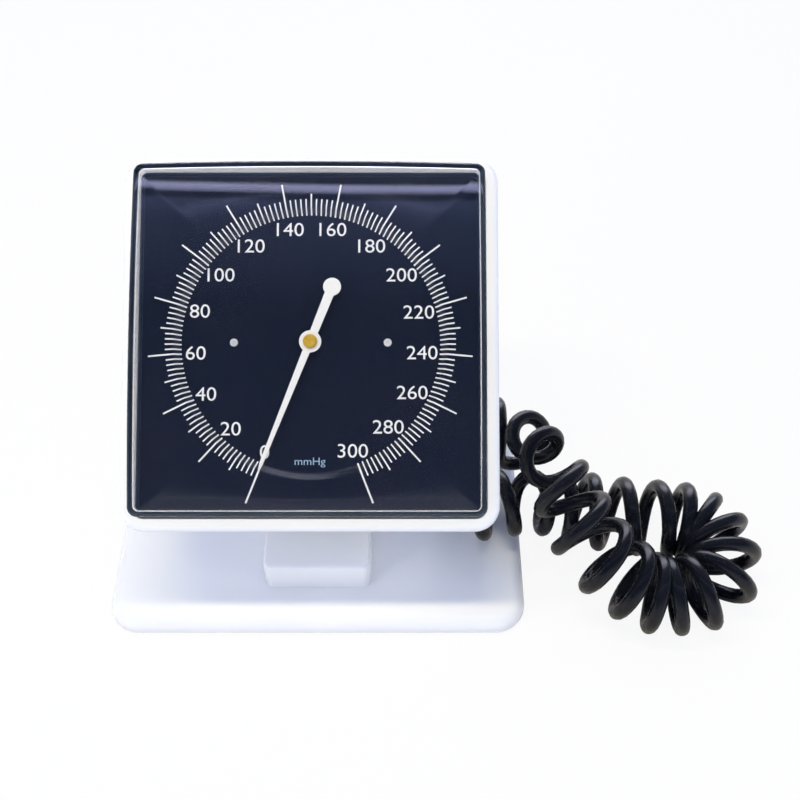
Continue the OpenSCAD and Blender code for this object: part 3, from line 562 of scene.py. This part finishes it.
def make_world():
    """White where the camera looks at it, pale blue as fill light, and for reflections only a painted
    reflection: a pale horizon under a dark ceiling with one painted lamp strip and a painted bright zone
    behind"""
    world = bpy.data.worlds.new("room")
    bpy.context.scene.world = world
    world.use_nodes = True
    tree = world.node_tree
    nodes, links = tree.nodes, tree.links
    fill = nodes["Background"]
    fill.inputs["Color"].default_value = (*FILL_COLOUR, 1)
    fill.inputs["Strength"].default_value = FILL_STRENGTH
    white = nodes.new("ShaderNodeBackground")
    white.inputs["Color"].default_value = (1, 1, 1, 1)
    split = nodes.new("ShaderNodeSeparateXYZ")
    links.new(nodes.new("ShaderNodeTexCoord").outputs["Generated"], split.inputs[0])
    ramp = nodes.new("ShaderNodeValToRGB")
    stops = ramp.color_ramp.elements
    while len(stops) < len(PAINTED_REFLECTION_BANDS):
        stops.new(0.5)
    for stop, (position, colour) in zip(stops, PAINTED_REFLECTION_BANDS):
        stop.position = position
        stop.color = (*colour, 1)
    side = nodes.new("ShaderNodeMath")
    side.operation = "MULTIPLY"
    links.new(split.outputs["X"], side.inputs[0])
    links.new(split.outputs["X"], side.inputs[1])
    bow = nodes.new("ShaderNodeMath")
    bow.operation = "MULTIPLY_ADD"
    bow.inputs[1].default_value = -STRIP_BOW
    links.new(side.outputs[0], bow.inputs[0])
    links.new(split.outputs["Y"], bow.inputs[2])
    place = nodes.new("ShaderNodeMapRange")
    place.inputs["From Min"].default_value = -1
    links.new(bow.outputs[0], place.inputs["Value"])
    links.new(place.outputs["Result"], ramp.inputs[0])
    level = nodes.new("ShaderNodeMapRange")
    level.inputs["From Min"].default_value = HORIZON[0]
    level.inputs["From Max"].default_value = HORIZON[1]
    links.new(split.outputs["Z"], level.inputs["Value"])
    painted_reflection_colour = nodes.new("ShaderNodeMix")
    painted_reflection_colour.data_type = "RGBA"
    painted_reflection_colour.inputs["A"].default_value = (*PALE, 1)
    links.new(level.outputs["Result"], painted_reflection_colour.inputs["Factor"])
    links.new(ramp.outputs[0], painted_reflection_colour.inputs["B"])
    # painted reflection, which only reflection rays see
    mirror = nodes.new("ShaderNodeBackground")
    mirror.inputs["Strength"].default_value = PAINTED_REFLECTION_STRENGTH
    links.new(painted_reflection_colour.outputs["Result"], mirror.inputs["Color"])
    path = nodes.new("ShaderNodeLightPath")
    glossy = nodes.new("ShaderNodeMath")
    glossy.operation = "GREATER_THAN"
    glossy.inputs[1].default_value = 0.5
    links.new(path.outputs["Glossy Depth"], glossy.inputs[0])
    reflected = nodes.new("ShaderNodeMixShader")
    links.new(glossy.outputs[0], reflected.inputs["Fac"])
    links.new(fill.outputs[0], reflected.inputs[1])
    links.new(mirror.outputs[0], reflected.inputs[2])
    mix = nodes.new("ShaderNodeMixShader")
    links.new(straight_view(tree, IN_WORLD), mix.inputs["Fac"])
    links.new(reflected.outputs[0], mix.inputs[1])
    links.new(white.outputs[0], mix.inputs[2])
    links.new(mix.outputs[0], nodes["World Output"].inputs["Surface"])


def make_floor():
    """White table top that shows as white and keeps a light shadow"""
    shape = Shape()
    half = 3000
    shape.loft([[(-half, -half, -4), (half, -half, -4), (half, half, -4), (-half, half, -4)],
                [(-half, -half, 0), (half, -half, 0), (half, half, 0), (-half, half, 0)]])
    floor = shape.finish("table_top", BASE_FRAME)
    n = Nodes("table_white")
    n.link(n.blend(n.noise(3, 2), (0.8, 0.8, 0.82), (0.84, 0.84, 0.86)), n.shader.inputs["Base Color"])
    n.set(Roughness=0.6, Specular_IOR_Level=0.2)
    glow = n.add("ShaderNodeEmission")
    glow.inputs["Strength"].default_value = 1.0
    share = n.add("ShaderNodeMath", operation="MULTIPLY")
    n.link(straight_view(n.tree, ON_SURFACE), share.inputs[0])
    share.inputs[1].default_value = FLOOR_GLOW
    mix = n.add("ShaderNodeMixShader")
    n.link(share.outputs[0], mix.inputs["Fac"])
    n.link(n.shader.outputs[0], mix.inputs[1])
    n.link(glow.outputs[0], mix.inputs[2])
    n.link(mix.outputs[0], n.tree.nodes["Material Output"].inputs["Surface"])
    floor.data.materials.append(n.material)


# ---- Stand ----
def make_base(look):
    """Base cover: a slab with a rounded top edge, hollow below"""
    outer = [(0.4, PAD_T), (0, PAD_T + 0.4), *arc(BASE_EDGE, TOP_Z - BASE_EDGE, BASE_EDGE, 180, 90, 10),
             (BASE_EDGE + 1, TOP_Z)]
    outer = [(x, z) for x, z in outer]
    shape = Shape()
    skirt = rings(BASE_W, BASE_D, BASE_R, outer, seg=12)
    pocket = rings(BASE_W, BASE_D, BASE_R, [(RIM, PAD_T), (RIM, TOP_Z - SKIN)], seg=12)
    shape.loft(pocket[::-1] + skirt)
    obj = shape.finish("base_cover", BASE_FRAME)
    holes = Shape()
    for y in (-28, 4):
        holes.loft(lathe([(2.05, 0), (2.05, TOP_Z + 3)], 32), Matrix.Translation((0, y, 0)))
    cut(obj, holes.finish("holes", BASE_FRAME))
    bosses = Shape()
    for sx in (-1, 1):
        for sy in (-1, 1):
            profile = [(1.35, PAD_T + 2), (4, PAD_T + 2), (4, TOP_Z - SKIN), (1.35, TOP_Z - SKIN)]
            bosses.loft(lathe(profile, 32), Matrix.Translation((66*sx, 46*sy, 0)), closed=True)
    join(obj, bosses.finish("bosses", BASE_FRAME))
    dress(obj, look["white_plastic"], "base", "base_shell", slot="white_plastic")


def join(obj, other):
    """Adds another object's mesh to an object's"""
    bm = bmesh.new()
    bm.from_mesh(obj.data)
    bm.from_mesh(other.data)
    bm.to_mesh(obj.data)
    bm.free()
    bpy.data.objects.remove(other)


def make_pedestal(look):
    """Pedestal with its neck and knuckle, one moulding"""
    y0, y1 = PEDESTAL_Y
    depth = y1 - y0
    place = Matrix.Translation((0, (y0 + y1)/2, 0))
    edge = 1.5
    profile = [(0, TOP_Z), *arc(edge, PEDESTAL_Z - edge, edge, 180, 90, 6), (edge + 0.6, PEDESTAL_Z)]
    block = Shape()
    block.loft(rings(PEDESTAL_W, depth, 4, profile, seg=10), place)
    obj = block.finish("pedestal_body", BASE_FRAME)
    neck = Shape()
    neck.box((-NECK_W/2, HINGE_Y - NECK_T/2, TOP_Z + 2), (NECK_W/2, HINGE_Y + NECK_T/2, HINGE_Z))
    cut(obj, neck.finish("neck", BASE_FRAME), "UNION")
    across = Matrix.Translation((-NECK_W/2, HINGE_Y, HINGE_Z)) @ Matrix.Rotation(math.pi/2, 4, "Y")
    knuckle = Shape()
    knuckle.loft(lathe([(KNUCKLE_R, 0), (KNUCKLE_R, NECK_W)], 96), across)
    cut(obj, knuckle.finish("knuckle", BASE_FRAME), "UNION")
    tools = Shape()
    tools.loft(lathe([(PIN_R + 0.05, -10), (PIN_R + 0.05, NECK_W + 10)], 64), across)
    cut(obj, tools.finish("bore", BASE_FRAME))
    soften(obj, 0.45, 3, 50)
    dress(obj, look["white_plastic"], "base", "pedestal", slot="white_plastic", sharp=40)


# ---- Head ----
def make_housing(look):
    """Front housing: a square frame with a deep skirt that closes in towards the rear"""
    taper = HEAD_TAPER/(HEAD_DEPTH - FRONT_BAND)
    side = [(HEAD_TAPER, REAR_Z), (HEAD_TAPER - 0.3*taper, REAR_Z + 0.3), (0.4, -FRONT_BAND - 2.4),
            (0.1, -FRONT_BAND - 0.9), (0, -FRONT_BAND + 0.6)]
    front = arc(FRONT_EDGE, -FRONT_EDGE, FRONT_EDGE, 180, 90, 8)
    lip = (HEAD_W - LENS_W)/2 - LENS_GAP
    outer = side + front + [(FRONT_EDGE + 0.4, 0), (lip - 0.9, 0), *arc(lip - 0.5, -0.5, 0.5, 90, 0, 3)]
    seat = [(lip, LEDGE_Z)]
    ledge = [((HEAD_W - LEDGE_W)/2, LEDGE_Z), ((HEAD_W - LEDGE_W)/2, LEDGE_Z - LEDGE_T)]
    inner = [(WALL, LEDGE_Z - LEDGE_T), (WALL, -FRONT_BAND), (HEAD_TAPER + WALL, REAR_Z)]
    loops = rings(HEAD_W, HEAD_W, HEAD_R, outer, seg=12, least=LENS_R)
    loops += rings(HEAD_W, HEAD_W, LENS_R + LENS_GAP + lip, seat, seg=12)
    loops += rings(HEAD_W, HEAD_W, LEDGE_R + ledge[0][0], ledge, seg=12)
    loops += rings(HEAD_W, HEAD_W, HEAD_R, inner, seg=12)
    shape = Shape()
    shape.loft(loops, closed=True)
    for sx in (-1, 1):
        for sy in (-1, 1):
            boss = [(1.55, REAR_Z + 0.1), (4.4, REAR_Z + 0.1), (4.4, LEDGE_Z - 2), (1.55, REAR_Z + 12)]
            shape.loft(lathe(boss, 32), Matrix.Translation((COVER_SCREW*sx, COVER_SCREW*sy, 0)), True)
            post = [(1.35, -26), (5, -26), (5, -8.05), (1.35, -8.05)]
            shape.loft(lathe(post, 32), Matrix.Translation((73.5*sx, 20*sy, 0)), True)
    obj = shape.finish("housing_shell", FACE_FRAME)
    dress(obj, look["white_plastic"], "head", "front_housing", slot="white_plastic")


def dome_z(x, y, crown):
    return crown - LENS_DOME_R + math.sqrt(LENS_DOME_R**2 - x*x - y*y)


def dome_rings(w, r, crown, edge, rim):
    """Rings of a square cover, from its rounded rim to its middle; rim rounds the top edge"""
    loops = []
    for inset, drop in [(rim - rim*math.cos(math.radians(a)), rim - rim*math.sin(math.radians(a)))
                        for a in range(0, 91, 15)]:
        flat = outline(w - 2*inset, w - 2*inset, max(r - inset, 0.6), 8, edge)
        loops.append([(x, y, dome_z(x, y, crown) - drop) for x, y in flat])
    count = 16
    inner_w = w - 2*rim
    for share in [0.992, *(1 - i/count for i in range(1, count))]:
        flat = outline(inner_w*share, inner_w*share, max((r - rim)*share, 0.3), 8, edge)
        loops.append([(x, y, dome_z(x, y, crown)) for x, y in flat])
    return loops


def make_lens(look):
    """Clear domed cover, a cap with its own wall thickness"""
    bottom = LEDGE_Z + GASKET_T
    edge = 16
    outer = dome_rings(LENS_W, LENS_R, LENS_CROWN, edge, 1.4)
    inner_w = LENS_W - 2*LENS_T
    inner = dome_rings(inner_w, LENS_R - 1.5, LENS_CROWN - LENS_T, edge, 0.8)
    foot_out = [[(x, y, bottom) for x, y in outline(LENS_W, LENS_W, LENS_R, 8, edge)]]
    foot_in = [[(x, y, bottom) for x, y in outline(inner_w, inner_w, LENS_R - 1.5, 8, edge)]]
    shape = Shape()
    shape.loft(inner[::-1] + foot_in + foot_out + outer)
    obj = shape.finish("lens_dome", FACE_FRAME)
    dress(obj, look["clear_plastic"], "head", "lens_cover", slot="clear_plastic", sharp=30)
    obj.visible_shadow = False


def make_dial(look):
    """Dial plate: a square sheet with a sunk round middle"""
    back = DIAL_Z - DIAL_T
    square = outline(DIAL_W, DIAL_W, DIAL_R, 6, 54)
    inset = outline(DIAL_W - 0.5, DIAL_W - 0.5, DIAL_R - 0.25, 6, 54)

    def circle(r, z):
        angles = [math.atan2(y, x) for x, y in square]
        return [(r*math.cos(a), r*math.sin(a), z) for a in angles]

    soft = 0.5
    loops = [circle(3, SUNK_Z - DIAL_T), circle(DISC_R, SUNK_Z - DIAL_T), circle(BEVEL_R + 0.6, back),
             [(x, y, back) for x, y in square], [(x, y, DIAL_Z - 0.15) for x, y in square],
             [(x, y, DIAL_Z) for x, y in inset], circle(BEVEL_R + soft, DIAL_Z),
             circle(BEVEL_R, DIAL_Z - 0.1), circle(BEVEL_R - 0.3, DIAL_Z - 0.42),
             circle(DISC_R + 0.3, SUNK_Z + 0.42), circle(DISC_R, SUNK_Z + 0.1),
             circle(DISC_R - soft, SUNK_Z), circle(DISC_R - 2, SUNK_Z), circle(3, SUNK_Z)]
    shape = Shape()
    shape.loft(loops, closed=True)
    obj = shape.finish("dial_face", FACE_FRAME)
    dress(obj, look["dial_paint"], "head", "dial_plate", slot="dial_print", sharp=35)


TICK_START = 56.4
TICK_ENDS = {"short": 63.1, "ten": 65.4, "long": 70.6, "end": 74.9}
TICK_WIDTH = {"short": 0.62, "ten": 0.66, "long": 0.72, "end": 0.8}
PRINT = 0.07


def scale_angle(value):
    """Angle clockwise from straight down, in radians"""
    return math.radians(SCALE_GAP + SWEEP*value/SCALE_MAX)


def tick(shape, value, kind):
    """One mark, which runs over the bevel of the dial"""
    end, half = TICK_ENDS[kind], TICK_WIDTH[kind]/2
    profile = [(TICK_START, SUNK_Z), (DISC_R, SUNK_Z + 0.1), (BEVEL_R, DIAL_Z), (end, DIAL_Z)]
    place = Matrix.Rotation(-scale_angle(value) - math.pi/2, 4, "Z")
    loops = [[(r, -half, z), (r, half, z), (r, half, z + PRINT), (r, -half, z + PRINT)] for r, z in profile]
    shape.loft(loops, place)


def make_scale(look):
    shape = Shape()
    for value in range(0, SCALE_MAX + 1, 2):
        if value in (0, SCALE_MAX):
            kind = "end"
        elif value % 20 == 0:
            kind = "long"
        elif value % 10 == 0:
            kind = "ten"
        else:
            kind = "short"
        tick(shape, value, kind)
    obj = shape.finish("dial_marks", FACE_FRAME)
    dress(obj, look["print_white"], "head", slot="pointer_paint")


TEXT_WIDEN = 1.1
ZERO_ASIDE = 1.0               # how far the 0 stands clear of the resting pointer


def text_mesh(name, text, size, weight):
    """Lettering as a thin solid, centred on its own box"""
    data = bpy.data.curves.new(name, "FONT")
    data.body = text
    data.size = size
    data.offset = weight
    data.extrude = PRINT/2
    data.align_x = "CENTER"
    data.resolution_u = 4
    obj = bpy.data.objects.new(name, data)
    bpy.context.scene.collection.objects.link(obj)
    graph = bpy.context.evaluated_depsgraph_get()
    mesh = bpy.data.meshes.new_from_object(obj.evaluated_get(graph))
    bpy.data.objects.remove(obj)
    xs = [v.co.x for v in mesh.vertices]
    ys = [v.co.y for v in mesh.vertices]
    middle = Vector(((min(xs) + max(xs))/2, (min(ys) + max(ys))/2, 0))
    mesh.transform(Matrix.Diagonal((TEXT_WIDEN, 1, 1, 1)) @ Matrix.Translation(-middle))
    return mesh


def label_radius(value, angle):
    """Numbers with three digits sit further in at the sides, and those at the top and bottom
    further out"""
    wide = 1.6 if value >= 100 else 0
    return 50.2 - wide*abs(math.sin(angle)) + 1.1*abs(math.cos(angle))


def lay_text(parts, name, size, weight, material, look):
    """One piece from several (text, x, y) words on the sunk disc"""
    bm = bmesh.new()
    for text, x, y in parts:
        mesh = text_mesh("word", text, size, weight)
        mesh.transform(Matrix.Translation((x, y, SUNK_Z + PRINT/2)))
        bm.from_mesh(mesh)
    bmesh.ops.transform(bm, matrix=FACE_FRAME, verts=bm.verts)
    mesh = bpy.data.meshes.new(name)
    bm.to_mesh(mesh)
    bm.free()
    obj = bpy.data.objects.new(name, mesh)
    bpy.context.scene.collection.objects.link(obj)
    dress(obj, look[material], "head", slot="pointer_paint")


def make_numbers(look):
    parts = []
    for value in range(0, SCALE_MAX + 1, 20):
        angle = scale_angle(value)
        radius = label_radius(value, angle)
        aside = ZERO_ASIDE if value == 0 else 0
        parts.append((str(value), -radius*math.sin(angle) - aside, -radius*math.cos(angle)))
    lay_text(parts, "dial_numbers", 8.5, 0.0, "print_white", look)
    lay_text([("mmHg", 0, -52.2)], "dial_unit", 4.6, 0.0, "print_blue", look)


def screw_shape(shape, radius, head_h, shank, place):
    """Pan head screw; its head ends in a shallow dome with a cross recess"""
    dome = arc(radius*0.72, head_h*0.42, radius*0.28, 0, 90, 4)
    lift = head_h - (head_h*0.42 + radius*0.28)
    dome = [(r, min(z + lift*i/4, head_h)) for i, (r, z) in enumerate(dome)]
    profile = [(0.05, -shank), (radius*0.52, -shank), (radius*0.52, 0), (radius, 0), *dome,
               (radius*0.35, head_h + 0.04), (0.05, head_h + 0.06)]
    shape.loft(lathe(profile, 32), place)


def cross_tool(shape, radius, head_h, place):
    for turn in (0, 90):
        arm = place @ Matrix.Rotation(math.radians(turn), 4, "Z")
        w = radius*0.14
        shape.box((-radius*0.6, -w, head_h*0.35), (radius*0.6, w, head_h + 1), arm)


def make_screws(look, name, node, body, frame_matrix, spots, radius, head_h, shank, material, slot):
    """One piece of several screws; spots are their matrices, with the head along +z"""
    heads = Shape()
    tools = Shape()
    for k, spot in enumerate(spots):
        turned = spot @ Matrix.Rotation(math.radians(23 + 37*k), 4, "Z")
        screw_shape(heads, radius, head_h, shank, turned)
        cross_tool(tools, radius, head_h, turned)
    obj = heads.finish(name, frame_matrix)
    cut(obj, tools.finish("crosses", frame_matrix))
    dress(obj, look[material], body, node, slot=slot, sharp=35)


def corners(x, y, z, flip=False):
    turn = Matrix.Rotation(math.pi, 4, "X") if flip else Matrix.Identity(4)
    return [Matrix.Translation((sx*x, sy*y, z)) @ turn for sx in (-1, 1) for sy in (-1, 1)]


def make_all_screws(look):
    steel = ("zinc_steel", "zinc_steel")
    dial = [Matrix.Translation((s*SCREW_X, 0, SUNK_Z)) for s in (-1, 1)]
    make_screws(look, "dial_screw_pair", "dial_screws", "head", FACE_FRAME, dial, 1.75, 0.9, 5,
                "screw_white", "white_screws")
    rear = corners(COVER_SCREW, COVER_SCREW, COVER_Z, True)
    make_screws(look, "cover_screw_set", "rear_cover_screws", "head", FACE_FRAME, rear, 2.8, 1.8, 11, *steel)
    flip = Matrix.Rotation(math.pi, 4, "X")
    bracket = [Matrix.Translation((s*BRACKET_X, y, COVER_Z - BRACKET_T)) @ flip
               for s in (-1, 1) for y in BRACKET_Y]
    make_screws(look, "bracket_screw_set", "bracket_screws", "head", FACE_FRAME, bracket,
                2.8, 1.6, 8.5, *steel)
    base = corners(66, 46, PAD_T + 0.9, True)
    make_screws(look, "base_screw_set", "base_screws", "base", BASE_FRAME, base, 2.5, 0.8, 4.2, *steel)


def make_pointer(look):
    """Pointer with a ring at its hub and a round counterweight, turned to zero"""
    turn = Matrix.Rotation(math.radians(-90 - SCALE_GAP), 4, "Z")
    shape = Shape()
    blade = [(-TAIL_L, -2.1), (0, -1.7), (POINTER_L - 3, -0.8), (POINTER_L, -0.25), (POINTER_L, 0.25),
             (POINTER_L - 3, 0.8), (0, 1.7), (-TAIL_L, 2.1)]
    shape.prism(blade, POINTER_Z, POINTER_Z + POINTER_T, turn)
    obj = shape.finish("pointer_blade", FACE_FRAME)
    for x, r in ((-TAIL_L, TAIL_R), (0, 4.8)):
        disc = Shape()
        disc.loft(lathe([(r, POINTER_Z), (r, POINTER_Z + POINTER_T)], 64),
                  turn @ Matrix.Translation((x, 0, 0)))
        cut(obj, disc.finish("disc", FACE_FRAME), "UNION")
    hub = Shape()
    hub.loft(lathe([(2.2, SUNK_Z + 0.6), (2.2, POINTER_Z + 0.1)], 48))
    cut(obj, hub.finish("hub", FACE_FRAME), "UNION")
    soften(obj, 0.12, 2, 40)
    dress(obj, look["pointer_paint"], "pointer_arbor", "pointer", slot="pointer_paint")

    z0 = POINTER_Z + POINTER_T
    profile = [(0.05, z0 + 0.01), (3.1, z0 + 0.01), (3.1, z0 + 0.7), (3.0, z0 + 1.0),
               *arc(2.2, z0 + 1.0, 0.8, 20, 90, 5), (1.4, z0 + 1.8), (1.1, z0 + 1.72), (0.05, z0 + 1.68)]
    cap = Shape()
    cap.loft(lathe(profile, 64))
    obj = cap.finish("pointer_cap_dome", FACE_FRAME)
    dress(obj, look["cap_brass"], "pointer_arbor", "pointer_cap", slot="cap_brass")


def make_rear(look):
    """Rear cover with vent slots and holes"""
    w = HEAD_W - 2*HEAD_TAPER
    edge = 1.8
    profile = [(0, REAR_Z), (0, COVER_Z + edge), *arc(edge, COVER_Z + edge, edge, 180, 270, 6)[1:],
               (edge + 0.6, COVER_Z)]
    shape = Shape()
    shape.loft(rings(w, w, HEAD_R, profile, seg=12))
    obj = shape.finish("rear_cover_plate", FACE_FRAME)
    holes = Shape()
    for x in range(-30, 31, 6):
        slot = [(px + x + 1.2, py + 55) for px, py in outline(2.4, 14, 1.15, 6)]
        holes.prism(slot, COVER_Z - 1, REAR_Z + 1)
    for spot in corners(COVER_SCREW, COVER_SCREW, 0):
        holes.loft(lathe([(1.55, COVER_Z - 1), (1.55, REAR_Z + 1)], 32), spot)
    for sx in (-1, 1):
        for y in BRACKET_Y:
            holes.loft(lathe([(1.55, COVER_Z - 1), (1.55, REAR_Z + 1)], 32),
                       Matrix.Translation((sx*BRACKET_X, y, 0)))
    holes.loft(lathe([(4.05, COVER_Z - 1), (4.05, REAR_Z + 1)], 48), Matrix.Translation((BARB_X, BARB_Y, 0)))
    cut(obj, holes.finish("rear_holes", FACE_FRAME))
    dress(obj, look["white_plastic"], "head", "rear_cover", slot="white_plastic")


def make_bracket(look):
    """Hinge bracket: a plate with two ears"""
    plate_z = COVER_Z - BRACKET_T
    shape = Shape()
    shape.loft(rings(58, 28, 4, [(0, plate_z), (0, COVER_Z)], seg=8), Matrix.Translation((0, -60, 0)))
    obj = shape.finish("bracket_plate", FACE_FRAME)
    for s in (-1, 1):
        x = s*(NECK_W/2 + EAR_GAP + EAR_T/2)
        side = [(-EAR_R, plate_z + 1), *arc(0, -HINGE_BACK, EAR_R, 180, 360, 24), (EAR_R, plate_z + 1)]
        place = Matrix.Translation((x - EAR_T/2, -HINGE_DROP, 0)) @ Matrix(
            ((0, 0, 1, 0), (1, 0, 0, 0), (0, 1, 0, 0), (0, 0, 0, 1)))
        ear = Shape()
        ear.prism(side, 0, EAR_T, place)
        cut(obj, ear.finish("ear", FACE_FRAME), "UNION")
    tools = Shape()
    across = Matrix.Translation((-40, -HINGE_DROP, -HINGE_BACK)) @ Matrix.Rotation(math.pi/2, 4, "Y")
    tools.loft(lathe([(PIN_R + 0.05, 0), (PIN_R + 0.05, 80)], 64), across)
    for sx in (-1, 1):
        for y in BRACKET_Y:
            tools.loft(lathe([(1.55, plate_z - 1), (1.55, COVER_Z + 1)], 32),
                       Matrix.Translation((sx*BRACKET_X, y, 0)))
    cut(obj, tools.finish("bracket_holes", FACE_FRAME))
    soften(obj, 0.35, 2, 50)
    dress(obj, look["white_plastic"], "head", "hinge_bracket", slot="white_plastic", sharp=40)


def make_sleeve(look):
    """Tapered rubber strain relief with rings"""
    top = COVER_Z - 3.75
    thin = COVER_Z - 22
    steps = 9
    profile = [(HOSE_R + 0.05, top), (4.9, top), (5.2, top - 0.4), (5.2, top - 5)]
    for i in range(steps):
        z = top - 5.4 - i*1.35
        r = 5.2 - 0.9*max(0, (i - 1)/(steps - 2))
        profile += [(r, z), (r, z - 0.6), (r - 0.5, z - 0.75), (r - 0.5, z - 1.15)]
    profile += [(4.3, thin + 0.5), (4.0, thin), (HOSE_R + 0.05, thin)]
    shape = Shape()
    shape.loft(lathe(profile, 48), Matrix.Translation((BARB_X, BARB_Y, 0)), closed=True)
    obj = shape.finish("hose_strain_relief", FACE_FRAME)
    dress(obj, look["black_rubber"], "head", "hose_sleeve", slot="black_rubber", sharp=40)


# ---- Pieces that stay as the construction has them ----
CARRIED = {
    "base_floor": "grey_plastic", "ballast_plate": "ballast_steel", "base_pad": "black_rubber",
    "pedestal_screws": "zinc_steel", "hinge_pin": "zinc_steel", "hinge_nut": "zinc_steel",
    "friction_washers": "friction_disc", "lens_gasket": "seal_rubber_painted_gap_shade", "dial_posts": "brass",
    "chassis_plate": "zinc_steel", "chassis_screws": "zinc_steel", "movement_front_plate": "brass",
    "movement_back_plate": "brass", "movement_pillars": "brass", "capsule_studs": "brass",
    "capsule_plate": "zinc_steel", "rocker_bearings": "brass", "capsule": "bronze",
    "push_pin": "nickel", "rocker_shaft": "nickel", "sector_gear": "brass", "sector_arbor": "nickel",
    "pinion": "brass", "pinion_arbor": "nickel", "hairspring": "bronze", "hose_barb": "nickel",
    "barb_nut": "nickel", "inner_tube": "inner_rubber"}


def dress_carried(look):
    for node, material in CARRIED.items():
        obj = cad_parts[node]
        for slot in obj.material_slots:
            slot.material = look[material]


def main():
    look = make_materials()
    make_camera()
    make_hose(look)
    make_floor()
    make_base(look)
    make_pedestal(look)
    make_housing(look)
    make_lens(look)
    make_dial(look)
    make_scale(look)
    make_numbers(look)
    make_pointer(look)
    make_rear(look)
    make_bracket(look)
    make_sleeve(look)
    make_all_screws(look)
    dress_carried(look)
    make_lights()
    make_world()
    scene = bpy.context.scene
    scene.view_settings.view_transform = "Standard"


main()
